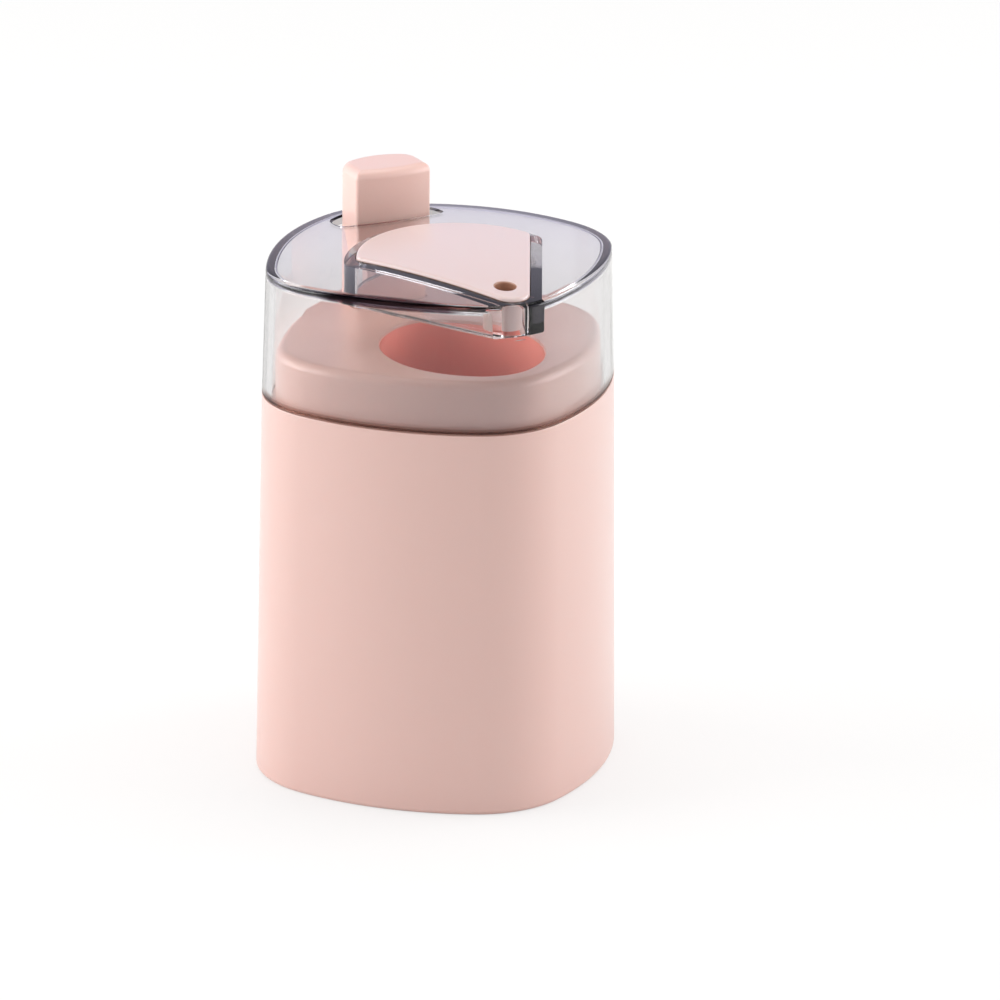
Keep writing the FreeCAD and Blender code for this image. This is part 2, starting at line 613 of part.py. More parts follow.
# ---------------------------------------------------------- lever, pin and lifter
def build_rocker_lever():
    """Straight bar on a hub; at rest the button's end stands high."""
    body = new_body("rocker_lever")
    half = "lever_height / 2"
    sketch = new_sketch(body, "lever_bar", "XZ_Plane")
    rectangle(sketch, "-(%s + lever_overhang)" % INNER_ARM, "%s + lever_overhang" % OUTER_ARM,
              "-(%s)" % half, half)
    pad(body, sketch, "lever_width", both_ways=True)
    ends = (-number("%s + lever_overhang" % INNER_ARM), number("%s + lever_overhang" % OUTER_ARM))
    fillet(body, "lever_end_radius", lambda edge: edge.BoundBox.ZLength > number(half)
           and min(abs(edge.BoundBox.XMin - end) for end in ends) < 0.01)
    sketch = new_sketch(body, "lever_hub", "XZ_Plane")
    circle(sketch, "0", "0", "lever_hub_radius")
    pad(body, sketch, "lever_width", both_ways=True)
    sketch = new_sketch(body, "lever_bore", "XZ_Plane")
    circle(sketch, "0", "0", "pin_radius + pin_fit")
    pocket(body, sketch, "2 * lever_width", both_ways=True)
    pivot = Vector(number("pivot_offset"), 0, number("pivot_height"))
    tilt = FreeCAD.Rotation(Y_AXIS, number(LEVER_TILT))
    body.Placement = LAYOUT.multiply(FreeCAD.Placement(pivot, tilt))
    return body


def build_lever_pin():
    """Steel pin held in the lugs, on which the lever turns."""
    pin = doc.addObject("Part::Cylinder", "lever_pin")
    pin.Label = "lever_pin"
    pin.setExpression("Radius", cells("pin_radius"))
    pin.setExpression("Height", cells("lever_width + 2 * lug_gap + 2 * lug_thickness"))
    doc.recompute()
    start = Vector(number("pivot_offset"), number("lever_width / 2 + lug_gap + lug_thickness"),
                   number("pivot_height"))
    pin.Placement = LAYOUT.multiply(FreeCAD.Placement(start, FreeCAD.Rotation(Vector(1, 0, 0), 90)))
    return pin


def build_lifter():
    """Round rod with a domed foot; it pushes one toothpick up from below."""
    body = new_body("lifter_rod")
    sketch = new_sketch(body, "lifter_profile", "XZ_Plane", along=OUTLET)
    foot = number("lifter_foot_radius")
    sag = number("lifter_foot_height - lifter_foot_rim")
    dome = (foot * foot + sag * sag) / (2 * sag)
    low = number(LIFTER_FOOT)
    rod = number("lifter_radius")
    rim = number("lifter_foot_height") + low
    top = number("store_floor - lifter_sink")
    pieces = [arc(0, low + dome, dome, -math.pi / 2, -math.acos(foot / dome)),
              line(foot, low + sag, foot, rim), line(foot, rim, rod, rim),
              line(rod, rim, rod, top), line(rod, top, 0, top), line(0, top, 0, low)]
    ids = loop(sketch, pieces, "Coincident")
    for index, kind in ((1, "Vertical"), (2, "Horizontal"), (3, "Vertical"), (4, "Horizontal"),
                        (5, "Vertical")):
        sketch.addConstraint(Sketcher.Constraint(kind, ids[index]))
    sketch.addConstraint(Sketcher.Constraint("PointOnObject", ids[0], 3, -2))
    place_point(sketch, ids[0], 1, "0", LIFTER_FOOT)
    place_point(sketch, ids[1], 1, "lifter_foot_radius",
                "%s + lifter_foot_height - lifter_foot_rim" % LIFTER_FOOT)
    place_point(sketch, ids[3], 1, "lifter_radius", "%s + lifter_foot_height" % LIFTER_FOOT)
    bind(sketch, "DistanceY", -1, 1, ids[4], 1, "store_floor - lifter_sink")
    turned = body.newObject("PartDesign::Revolution", "lifter_turned")
    turned.Profile = sketch
    turned.ReferenceAxis = (sketch, ["V_Axis"])
    turned.Angle = 360
    doc.recompute()
    return body


# ------------------------------------------------------------ button and spring
def build_button():
    """Hollow post with crossed ribs that seat the spring and lugs that stop it."""
    body = new_body("button")
    sketch = new_sketch(body, "post_section", height=BUTTON_FOOT)
    post_outline(sketch)
    pad(body, sketch, "%s - %s" % (POST_TOP, BUTTON_FOOT))
    fillet(body, "post_top_radius", level_edge(POST_TOP))
    sketch = new_sketch(body, "post_hollow", height="%s - post_roof" % BUTTON_FOOT)
    post_outline(sketch, "(-post_wall)", "(-post_wall)", "(-post_wall)")
    pocket(body, sketch, "%s - %s" % (POST_TOP, BUTTON_FOOT))
    half_rib = "rib_thickness / 2"
    rib_height = "%s - post_roof / 2 - spring_top" % POST_TOP
    sketch = new_sketch(body, "cross_rib", height="spring_top")
    rectangle(sketch, "-(%s + %s)" % (SPRING_AXIS, half_rib), "%s - %s" % (half_rib, SPRING_AXIS),
              "post_wall / 2 - post_half_width", "post_half_width - post_wall / 2")
    pad(body, sketch, rib_height)
    sketch = new_sketch(body, "long_rib", height="spring_top")
    rectangle(sketch, "post_wall / 2 - %s" % POST_BACK, "-(%s + post_wall / 2)" % POST_FRONT,
              "-(%s)" % half_rib, half_rib)
    pad(body, sketch, rib_height)
    sketch = new_sketch(body, "stop_lugs", height="%s - stop_gap - stop_thickness" % COLLAR_BOTTOM)
    for low, high in (("post_half_width - post_wall / 2", "post_half_width + stop_reach"),
                      ("-(post_half_width + stop_reach)", "post_wall / 2 - post_half_width")):
        rectangle(sketch, "-(%s + post_wall + stop_length)" % POST_FRONT,
                  "-(%s + post_wall)" % POST_FRONT, low, high)
    pad(body, sketch, "stop_thickness")
    return body


def build_return_spring():
    """Open-wound compression spring between the base plate and the button's ribs."""
    body = new_body("return_spring")
    sketch = new_sketch(body, "wire_section", "XZ_Plane", along="-%s" % SPRING_AXIS)
    start = "%s + spring_wire / 2 + spring_seat_gap" % BASE_TOP
    circle(sketch, "spring_radius", start, "spring_wire / 2")
    coil = body.newObject("PartDesign::AdditiveHelix", "spring_coil")
    coil.Profile = sketch
    coil.ReferenceAxis = (sketch, ["V_Axis"])
    coil.Mode = "height-turns-angle"
    coil.setExpression("Height", cells("spring_top - %s - spring_wire - 2 * spring_seat_gap" % BASE_TOP))
    coil.setExpression("Turns", cells("spring_turns"))
    doc.recompute()
    return body


# ----------------------------------------------------------- lid and outlet plate
def build_lid():
    """Clear crowned lid with the fan-shaped well hanging from its top."""
    body = new_body("lid_moulding")
    sketch = new_sketch(body, "lid_outline", height=LID_FOOT)
    rounded_square(sketch, LID_FOOT_HALF)
    pad(body, sketch, "%s + 2 * lid_crown - %s" % (RIM, LID_FOOT), "lid_draft")
    crown_cut(body, "lid_crown_face", CROWN_RADIUS, True)
    rim_low = number("%s - lid_crown" % RIM)
    fillet(body, "rim_radius", lambda edge: edge.BoundBox.ZMin > rim_low)
    lens_reach = "(%s - lid_wall - lid_ceiling_flat - (%s - lid_panel - %s) * %s)" % (
        LID_FOOT_HALF, RIM, LID_FOOT, LID_SLOPE)
    ceiling = "(%s + sqrt((%s - lid_panel)^2 - %s^2))" % (CROWN_CENTRE, CROWN_RADIUS, lens_reach)
    sketch = new_sketch(body, "lid_hollow", height=LID_FOOT)
    rounded_square(sketch, "%s - lid_wall" % LID_FOOT_HALF)
    pocket(body, sketch, "%s - %s" % (ceiling, LID_FOOT), "lid_draft")
    hollow_crown(body, lens_reach, ceiling)
    sketch = new_sketch(body, "well_mouth", height=WELL_BOTTOM)
    fan(sketch, "(-plate_ledge)")
    pocket(body, sketch, "%s - %s" % (ABOVE_LID, WELL_BOTTOM))
    sketch = new_sketch(body, "button_slot", height=WELL_BOTTOM)
    post_outline(sketch, "slot_front_gap", "slot_side_gap", "slot_back_gap")
    pocket(body, sketch, "%s - %s" % (ABOVE_LID, WELL_BOTTOM))
    seat = new_body("plate_seat")
    sketch = new_sketch(seat, "seat_outline", height=WELL_BOTTOM)
    fan(sketch, "plate_fit")
    pad(seat, sketch, "%s - %s" % (ABOVE_LID, WELL_BOTTOM))
    crown_cut(seat, "seat_floor", "(%s + plate_proud - plate_thickness)" % CROWN_RADIUS, False)
    joined = doc.addObject("Part::Fuse", "lid_with_well")
    joined.Base = body
    joined.Tool = hanging_well()
    cover = doc.addObject("Part::Cut", "lid_cover")
    cover.Label = "lid_cover"
    cover.Base = joined
    cover.Tool = seat
    doc.recompute()
    return cover


def hanging_well():
    """Open fan-shaped tube, buried in the crowned panel and in the wall at the tip."""
    well = new_body("well_tube")
    sketch = new_sketch(well, "well_outline", height=WELL_BOTTOM)
    fan(sketch, "(well_wall - plate_ledge)")
    pad(well, sketch, "%s - %s" % (ABOVE_LID, WELL_BOTTOM))
    crown_cut(well, "well_top", "(%s - lid_panel / 2)" % CROWN_RADIUS, True)
    sketch = new_sketch(well, "well_hollow", height="%s - lid_panel" % WELL_BOTTOM)
    fan(sketch, "(-plate_ledge)")
    pocket(well, sketch, "%s - %s" % (ABOVE_LID, WELL_BOTTOM))
    core = new_body("lid_core")
    sketch = new_sketch(core, "core_outline", height=LID_FOOT)
    rounded_square(sketch, "%s - lid_wall / 2" % LID_FOOT_HALF)
    pad(core, sketch, "%s - %s" % (ABOVE_LID, LID_FOOT), "lid_draft")
    trimmed = doc.addObject("Part::Common", "well_within_lid")
    trimmed.Base = well
    trimmed.Tool = core
    return trimmed


def hollow_crown(body, lens_reach, ceiling):
    """Take the lens between the flat ceiling and the crown's underside."""
    sketch = new_sketch(body, "ceiling_lens", "YZ_Plane")
    ball_text = "(%s - lid_panel)" % CROWN_RADIUS
    ball = number(ball_text)
    middle = number(CROWN_CENTRE)
    reach = number(lens_reach)
    flat = number(ceiling)
    pieces = [line(0, flat, reach, flat), arc(0, middle, ball, math.acos(reach / ball), math.pi / 2),
              line(0, middle + ball, 0, flat)]
    ids = loop(sketch, pieces, "Coincident")
    sketch.addConstraint(Sketcher.Constraint("Horizontal", ids[0]))
    sketch.addConstraint(Sketcher.Constraint("Vertical", ids[2]))
    place_point(sketch, ids[0], 1, "0", ceiling)
    place_point(sketch, ids[1], 3, "0", CROWN_CENTRE)
    bind(sketch, "Radius", ids[1], ball_text)
    groove = body.newObject("PartDesign::Groove", "ceiling_groove")
    groove.Profile = sketch
    groove.ReferenceAxis = (sketch, ["V_Axis"])
    groove.Angle = 360
    doc.recompute()
    return groove


def build_outlet_plate():
    """Fan-shaped plate set into the lid, with a guide boss under its outlet."""
    body = new_body("outlet_plate")
    sketch = new_sketch(body, "plate_outline", height=BOSS_BOTTOM)
    fan(sketch, "0")
    pad(body, sketch, "%s - %s" % (ABOVE_LID, BOSS_BOTTOM))
    crown_cut(body, "plate_top", "(%s + plate_proud)" % CROWN_RADIUS, True)
    crown_cut(body, "plate_underside", "(%s + plate_proud - plate_thickness)" % CROWN_RADIUS, False)
    tip = body.Tip.Shape
    top_face = max(tip.Faces, key=lambda face: face.CenterOfMass.z)
    rim = [edge.hashCode() for edge in top_face.Edges]
    fillet(body, "plate_edge_radius", lambda edge: edge.hashCode() in rim)
    plate_level = "(%s + sqrt((%s + plate_proud - plate_thickness / 2)^2 - %s^2))" % (
        CROWN_CENTRE, CROWN_RADIUS, OUTLET)
    sketch = new_sketch(body, "guide_boss", height=BOSS_BOTTOM)
    circle(sketch, OUTLET, "0", "boss_radius")
    pad(body, sketch, "%s - %s" % (plate_level, BOSS_BOTTOM))
    sketch = new_sketch(body, "outlet_bore", height="%s - outlet_mouth_depth" % BOSS_BOTTOM)
    circle(sketch, OUTLET, "0", "outlet_radius")
    pocket(body, sketch, "%s - %s" % (ABOVE_LID, BOSS_BOTTOM))
    sketch = new_sketch(body, "outlet_mouth", height=BOSS_BOTTOM)
    circle(sketch, OUTLET, "0", "outlet_mouth_radius")
    pocket(body, sketch, "outlet_mouth_depth",
           "atan((outlet_mouth_radius - outlet_radius) / outlet_mouth_depth)")
    return body


PARTS = [build() for build in (
    build_body_shell, build_base_plate, build_magazine, build_rocker_lever, build_lever_pin,
    build_lifter, build_button, build_return_spring, build_lid, build_outlet_plate)]
doc.recompute()

for item in doc.Objects:
    if "Invalid" in item.State or "Error" in item.State:
        raise RuntimeError("%s: %s" % (item.Name, item.State))
for piece in PARTS:
    if piece.Shape.isNull() or not piece.Shape.isValid():
        raise RuntimeError("%s has no valid shape" % piece.Label)
for piece in PARTS:
    piece.Shape.exportStep("parts/%s.step" % piece.Label)
    box = piece.Shape.BoundBox
    print("%-20s solids %d volume %9.1f  z %6.2f to %6.2f" % (
        piece.Label, len(piece.Shape.Solids), piece.Shape.Volume, box.ZMin, box.ZMax))
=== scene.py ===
import math

import bmesh
import bpy
import numpy as np
from mathutils import Matrix, Vector
from mathutils.geometry import delaunay_2d_cdt


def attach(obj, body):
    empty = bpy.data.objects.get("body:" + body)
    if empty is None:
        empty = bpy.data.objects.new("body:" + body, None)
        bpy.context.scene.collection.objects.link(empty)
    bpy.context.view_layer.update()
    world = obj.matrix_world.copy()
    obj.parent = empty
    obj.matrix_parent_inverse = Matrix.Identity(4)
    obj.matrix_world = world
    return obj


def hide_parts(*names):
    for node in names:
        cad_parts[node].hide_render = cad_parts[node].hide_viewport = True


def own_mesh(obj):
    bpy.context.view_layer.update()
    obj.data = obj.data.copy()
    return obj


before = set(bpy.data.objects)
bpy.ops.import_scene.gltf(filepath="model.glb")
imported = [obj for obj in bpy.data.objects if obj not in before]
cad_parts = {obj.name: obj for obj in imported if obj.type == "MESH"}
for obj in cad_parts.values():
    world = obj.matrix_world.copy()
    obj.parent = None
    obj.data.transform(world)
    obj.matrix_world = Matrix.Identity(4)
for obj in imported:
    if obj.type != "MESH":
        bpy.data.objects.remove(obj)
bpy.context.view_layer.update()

# ------------------------------------------------------------------------ body
# One thin-walled injection moulding in satin pale-pink polypropylene, open at the
# foot, with the shoulder, the neck, the deck and the guide the button runs in.


def srgb(code):
    """Linear colour of an sRGB hex code."""
    parts = [int(code[i:i + 2], 16) / 255 for i in (1, 3, 5)]
    return [p / 12.92 if p <= 0.04045 else ((p + 0.055) / 1.055) ** 2.4 for p in parts] + [1.0]


def add_node(tree, kind, links=(), **values):
    """Adds a shader node, sets its sockets or settings, and links its inputs."""
    node = tree.nodes.new(kind)
    for name, value in values.items():
        if hasattr(node, name):
            setattr(node, name, value)
        else:
            node.inputs[name.replace("_", " ")].default_value = value
    for socket, source in links:
        tree.links.new(source, node.inputs[socket])
    return node


def new_material(name):
    """A material with an empty node tree."""
    material = bpy.data.materials.new(name)
    material.use_nodes = True
    material.node_tree.nodes.clear()
    return material, material.node_tree


def by_painted_shade(tree, face, painted_shade):
    """One colour on moulded faces and a second, painted shade, on the faces marked for it."""
    mark = add_node(tree, "ShaderNodeAttribute", attribute_name="painted_shade")
    pick = add_node(tree, "ShaderNodeMix", [("Factor", mark.outputs["Fac"])], data_type="RGBA")
    pick.inputs[6].default_value = srgb(face)
    pick.inputs[7].default_value = srgb(painted_shade)
    return pick.outputs[2]


# Lengths in the shaders are metres, so per_mm is the scale of one grain a millimetre.
# Polypropylene and acrylic bend light alike.
mm = 0.001
per_mm = 1000.0
plastic_ior = 1.49


def moulded_plastic(name, colour, roughness, grain, coat=0.0, bore=None):
    """Injection-moulded plastic: slightly translucent pigment under a fine grain, with the bore
    colour as painted shade on marked faces.
    """
    material, tree = new_material(name)
    place = add_node(tree, "ShaderNodeTexCoord")
    # Nine grains to the millimetre, 0.02 mm deep, and a sheen that wanders over 11 mm.
    fine = add_node(tree, "ShaderNodeTexNoise", [("Vector", place.outputs["Object"])],
                    Scale=9 * per_mm, Detail=2.0)
    bump = add_node(tree, "ShaderNodeBump", [("Height", fine.outputs["Fac"])],
                    Strength=grain, Distance=0.02 * mm)
    broad = add_node(tree, "ShaderNodeTexNoise", [("Vector", place.outputs["Object"])],
                     Scale=0.09 * per_mm, Detail=3.0)
    sheen = add_node(tree, "ShaderNodeMapRange", [("Value", broad.outputs["Fac"])],
                     To_Min=roughness - 0.03, To_Max=roughness + 0.03)
    skin = add_node(tree, "ShaderNodeBsdfPrincipled",
                    [("Roughness", sheen.outputs["Result"]), ("Normal", bump.outputs["Normal"]),
                     ("Base Color", by_painted_shade(tree, colour, bore or colour))],
                    IOR=plastic_ior, Coat_Weight=coat, Coat_Roughness=roughness,
                    Subsurface_Weight=0.12, Subsurface_Scale=0.4 * mm,
                    Subsurface_Radius=(1.0, 0.45, 0.35))
    add_node(tree, "ShaderNodeOutputMaterial", [("Surface", skin.outputs["BSDF"])])
    return material


# Outlines are closed rings of points in the diagonal layout: the first axis runs
# from the middle to the outlet corner, the second across it, in millimetres.
def arc_points(x, y, radius, start, end, count):
    """Points along an arc, without its last one."""
    turns = np.linspace(start, end, count, endpoint=False)
    return np.column_stack((x + radius * np.cos(turns), y + radius * np.sin(turns)))


def line_points(start, end, count):
    """Points along a side that bows out by a hair, so that no three are in line."""
    hair = 0.016
    start, end = np.array(start, float), np.array(end, float)
    steps = np.linspace(0, 1, count, endpoint=False)[:, None]
    run = end - start
    out = np.array((run[1], -run[0])) / np.hypot(*run)
    return start + steps * run + hair * steps * (1 - steps) * out


def bowed_square(half, count=40):
    """Bowed square of the given half width; all sizes share their arc centres."""
    side_centre, corner_centre, corner_less = -20, 13.781, 11.3
    spread = math.radians(18.139)
    rings = []
    for side in range(4):
        facing = math.radians(90 * side - 45)
        corner = facing + math.pi / 4
        rings.append(arc_points(side_centre * math.cos(facing), side_centre * math.sin(facing),
                                half - side_centre, facing - spread, facing + spread, count))
        rings.append(arc_points(corner_centre * math.cos(corner), corner_centre * math.sin(corner),
                                half - corner_less, facing + spread,
                                facing + math.pi / 2 - spread, count))
    return np.vstack(rings)


def post(front, side, back, count=12):
    """Outline of the button, grown at its front, sides and back."""
    front_centre, back_centre = -36.204, -13.781
    width, bow, rear = 6.5 + side, 21 + front, 10.823 + back
    fore, aft = max(0.7 + front, 0.08), 3.2 + back
    turn = math.asin((width - fore) / (bow - fore))
    fore_at = front_centre + (bow - fore) * math.cos(turn)
    swing = math.asin((width - aft) / (rear - aft))
    aft_at = back_centre - (rear - aft) * math.cos(swing)
    quarter = math.pi / 2
    return np.vstack((
        arc_points(front_centre, 0, bow, -turn, turn, 2 * count),
        arc_points(fore_at, width - fore, fore, turn, quarter, count),
        line_points((fore_at, width), (aft_at, width), count),
        arc_points(aft_at, width - aft, aft, quarter, math.pi - swing, count),
        arc_points(back_centre, 0, rear, math.pi - swing, math.pi + swing, 2 * count),
        arc_points(aft_at, aft - width, aft, math.pi + swing, 3 * quarter, count),
        line_points((aft_at, -width), (fore_at, -width), count),
        arc_points(fore_at, fore - width, fore, 3 * quarter, 4 * quarter - turn, count)))


def oval(grow, count=32):
    """Mouth of the toothpick store, grown outwards."""
    middle = 8.3
    run, drop = 6.102, 3.38
    turn = math.atan2(drop, run)
    end, side = 9.002 + grow, drop + 12.597 + grow
    return np.vstack((
        arc_points(middle + run, 0, end, -turn, turn, count),
        arc_points(middle, -drop, side, turn, math.pi - turn, count),
        arc_points(middle - run, 0, end, math.pi - turn, math.pi + turn, count),
        arc_points(middle, drop, side, math.pi + turn, 2 * math.pi - turn, count)))


def ring(outline, height):
    """Gives an outline its height: one number, or one for every point."""
    heights = np.broadcast_to(np.asarray(height, float), (len(outline),))
    return np.column_stack((outline, heights))


ball_centre = -103.35


def on_ball(outline, ball):
    """Lays an outline on a sphere about the centre of the crowned top."""
    return ring(outline, ball_centre + np.sqrt(ball ** 2 - (outline ** 2).sum(1)))


def inside(points, loop):
    """Which points lie inside a closed loop."""
    hit = np.zeros(len(points), bool)
    for (x0, y0), (x1, y1) in zip(loop, np.roll(loop, -1, 0)):
        if y0 != y1:
            crosses = (points[:, 1] < y0) != (points[:, 1] < y1)
            hit ^= crosses & (points[:, 0] < x0 + (points[:, 1] - y0) * (x1 - x0) / (y1 - y0))
    return hit


def cap(edge, ball=None, step=1.4):
    """Closes a ring with a flat sheet, or with a crowned one where a ball is given."""
    points = edge[:, :2]
    if ball:
        grid = np.arange(-28, 28, step)
        spare = np.array([(x, y) for x in grid for y in grid])
        spare = spare[inside(spare, points)]
        gaps = np.sqrt(((spare[:, None] - points[None]) ** 2).sum(2)).min(1)
        points = np.vstack((points, spare[gaps > 0.6 * step]))
    edges = [(i, (i + 1) % len(edge)) for i in range(len(edge))]
    found, _, faces, *_ = delaunay_2d_cdt([Vector(p) for p in points], edges, [], 1, 1e-6)
    found = np.array([tuple(v) for v in found])
    return (on_ball(found, ball) if ball else ring(found, edge[0, 2])), faces


def in_scene(name, data):
    """A new object in the scene."""
    thing = bpy.data.objects.new(name, data)
    bpy.context.scene.collection.objects.link(thing)
    return thing


def solid_of(mesh):
    """An object of a mesh whose seams are welded and whose faces all look outwards."""
    work = bmesh.new()
    work.from_mesh(mesh)
    bmesh.ops.remove_doubles(work, verts=work.verts, dist=0.001)
    bmesh.ops.recalc_face_normals(work, faces=work.faces)
    work.to_mesh(mesh)
    work.free()
    return in_scene(mesh.name, mesh)


def lump(rings, low_ball=None, top_ball=None, painted_shade=()):
    """A closed solid lofted through rings, bottom first; its ends are flat or crowned.

    The last argument says how strongly each wall is darkened with painted shade, lowest wall
    first."""
    count = len(rings[0])
    walls = [(low + i, low + (i + 1) % count, low + count + (i + 1) % count, low + count + i)
             for low in range(0, count * (len(rings) - 1), count) for i in range(count)]
    verts, faces = [], []
    for points, cells in ((np.vstack(rings), walls), cap(rings[0], low_ball),
                          cap(rings[-1], top_ball)):
        start = len(verts)
        verts += [tuple(p) for p in points]
        faces += [[start + i for i in cell] for cell in cells]
    mesh = bpy.data.meshes.new("lump")
    mesh.from_pydata(verts, [], faces)
    # The face mark sets how much painted shade each wall gets.
    mark = mesh.attributes.new("painted_shade", "FLOAT", "FACE")
    for level, strength in enumerate(painted_shade):
        for face in range(level * count, (level + 1) * count):
            mark.data[face].value = strength
    return solid_of(mesh)


def combine(solid, tools, operation="DIFFERENCE"):
    """Cuts tools out of a solid, or joins them to it. The tools are used up."""
    for tool in tools:
        step = solid.modifiers.new("step", "BOOLEAN")
        step.solver = "MANIFOLD"
        step.operation = operation
        step.object = tool
    graph = bpy.context.evaluated_depsgraph_get()
    solid.data = bpy.data.meshes.new_from_object(solid.evaluated_get(graph))
    solid.modifiers.clear()
    for tool in tools:
        bpy.data.objects.remove(tool)
    return solid


def paint(piece, material):
    """Gives a piece its one material."""
    piece.data.materials.clear()
    piece.data.materials.append(material)


def finish_piece(name, piece, material, body, node):
    """Turns a solid from the layout into the frame and lets it stand for a CAD node."""
    piece.name = name
    across = math.sqrt(0.5)
    piece.data.transform(Matrix(((across, across, 0, 0), (-across, across, 0, 0),
                                 (0, 0, 1, 0), (0, 0, 0, 1))) * mm)
    paint(piece, material)
    piece.data.shade_smooth()
    piece.data.set_sharp_from_angle(angle=math.radians(35))
    flat = piece.modifiers.new("even_flats", "WEIGHTED_NORMAL")
    flat.keep_sharp = True
    flat.weight = 80
    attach(piece, body)
    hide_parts(node)


# The mould's fine grain gives soft, wide highlights, and the plastic lets in enough
# light for its edges to glow a little.
body_plastic = moulded_plastic("satin_moulded_pink_polypropylene", "#d8b3aa", 0.36, 0.25,
                               coat=0.9)

# Round edges bend in six steps, and a ring a little further in keeps the shading of
# the face beyond them flat.
bends = np.linspace(0, math.pi / 2, 7)
guard = 0.15

foot_half, foot_round, body_wall = 27.5, 0.8, 1.8
hollow_half, hollow_foot = 25.715, -1
draft = math.radians(0.85)
shoulder, shoulder_edge = 62.2, 0.06
neck_half, neck_round, neck_wall = 24.443, 1.4, 1.6
deck, deck_thickness = 70.2, 1.8
shoulder_under, deck_under = shoulder - body_wall, deck - deck_thickness


def body_half(height):
    """Half width of the drafted body at a height."""
    return foot_half - height * math.tan(draft)


# The foot's rings lie a hair inside the solid's, so that the piece stays in its box.
foot_hair = 0.0121
outside = [ring(bowed_square(foot_half - foot_round + foot_round * math.sin(b) - foot_hair),
                foot_round - foot_round * math.cos(b)) for b in bends]
outside += [ring(bowed_square(body_half(z)), z) for z in (8, 20, 35, 50, 62)]
outside += [ring(bowed_square(body_half(shoulder) - shoulder_edge), shoulder - shoulder_edge),
            ring(bowed_square(body_half(shoulder) - 0.2), shoulder),
            ring(bowed_square(neck_half + 0.1), shoulder),
            ring(bowed_square(neck_half), shoulder + 0.1),
            ring(bowed_square(neck_half), 66)]
outside += [ring(bowed_square(neck_half - neck_round + neck_round * math.cos(b)),
                 deck - neck_round + neck_round * math.sin(b)) for b in bends]
outside += [ring(bowed_square(neck_half - neck_round - guard), deck)]
hollow = lump([ring(bowed_square(hollow_half), hollow_foot),
               ring(bowed_square(body_half(shoulder_under) - body_wall), shoulder_under),
               ring(bowed_square(neck_half - neck_wall), shoulder_under),
               ring(bowed_square(neck_half - neck_wall), deck_under)])

# Under the deck: the collar the button runs in, and the rebate for the magazine's
# rim. Through it: the store's mouth and the button's passage, both edges broken.
post_gap, collar_wall, collar_span = 0.3, 1.2, (63.4, 69.5)
magazine_wall, magazine_gap, rebate_span = 1.2, 0.1, (67.5, deck - 0.5)
collar = lump([ring(post(*[post_gap + collar_wall] * 3), z) for z in collar_span])
rebate = lump([ring(oval(magazine_wall + magazine_gap), z) for z in rebate_span])
mouth = lump([ring(oval(grow), z) for grow, z in
              ((0, 67), (0, deck - 0.18), (0.06, deck - 0.06), (0.3, deck + 0.06))])
passage = lump([ring(post(grow, grow, grow), z) for grow, z in
                ((post_gap, 62), (post_gap, deck - 0.15), (post_gap + 0.3, deck + 0.15))])
body = combine(lump(outside), [combine(hollow, [collar]), rebate, mouth, passage])
finish_piece("body_moulding", body, body_plastic, "base", "body_shell")

# ------------------------------------------------------------------- base plate
# The flat bottom, moulded from the same satin polypropylene as the body and snapped
# into it. It carries the lever's lugs and the spring's boss.
paint(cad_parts["base_plate"], body_plastic)

# --------------------------------------------------------------------- magazine
# The oval tube the toothpicks stand in, moulded in polypropylene and held by its rim
# under the deck. Its walls darken towards the floor, where little light gets down.

# From a polished mould. Its deep pink is partly painted bounce light: the warmer,
# redder light that falls in and comes back is painted into its colour.
magazine_plastic = moulded_plastic("polished_pink_polypropylene_with_painted_bounce", "#ffa194", 0.22, 0.08)
paint(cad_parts["toothpick_magazine"], magazine_plastic)

# ----------------------------------------------------------------------- button
# The hollow polypropylene post that is pressed, paler than the body and rounded at
# its top edge. Crossed ribs inside it seat the spring, and two lugs under the deck's
# collar hold it in.


def block(along, across, heights):
    """A plain box in the diagonal layout, between three pairs of bounds."""
    (back, front), (right, left) = along, across
    corners = np.array(((back, right), (front, right), (front, left), (back, left)), float)
    return lump([ring(corners, z) for z in heights])


# From a polished mould and so nearly without grain: its corners catch a clean line.
button_plastic = moulded_plastic("polished_pale_pink_polypropylene", "#f0c8bd", 0.36, 0.1,
                                 coat=0.8)

post_foot, post_top = 12.5173, 92.45
post_front, post_back = -15.204, -24.604
post_wall, post_roof, post_round = 1.4, 1.6, 1.4
spring_axis = -20.604
rib_half, rib_reach, rib_span = 0.6, 5.8, (28, 91.2)
lug_back, lug_reach, lug_span = -21.604, 7.7, (61.7, 63.2)
skin = [ring(post(0, 0, 0), z) for z in (post_foot, 30, 60)]
skin += [ring(post(*[post_round * math.cos(b) - post_round] * 3),
              post_top - post_round + post_round * math.sin(b)) for b in bends]
skin += [ring(post(*[-post_round - guard] * 3), post_top)]
post_hollow = lump([ring(post(*[-post_wall] * 3), z)
                    for z in (post_foot - 1, post_top - post_roof)])
ribs = [block((spring_axis - rib_half, spring_axis + rib_half), (-rib_reach, rib_reach),
              rib_span),
        block((post_back + post_wall / 2, post_front - post_wall / 2), (-rib_half, rib_half),
              rib_span)]
lugs = [block((lug_back, post_front - post_wall), side, lug_span)
        for side in ((rib_reach, lug_reach), (-lug_reach, -rib_reach))]
button = combine(combine(lump(skin), [post_hollow]), ribs + lugs, "UNION")
finish_piece("button_post", button, button_plastic, "button", "button")

# ------------------------------------------------------------- lever and lifter
# The see-saw under the deck and the rod that it pushes up, moulded in slippery
# natural acetal. Both are out of sight behind the body's walls.

# Unpigmented off-white, milky and duller than the pink pieces.
acetal = moulded_plastic("natural_acetal", "#e9e4da", 0.45, 0.15)
for name in ("rocker_lever", "lifter_rod"):
    paint(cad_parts[name], acetal)
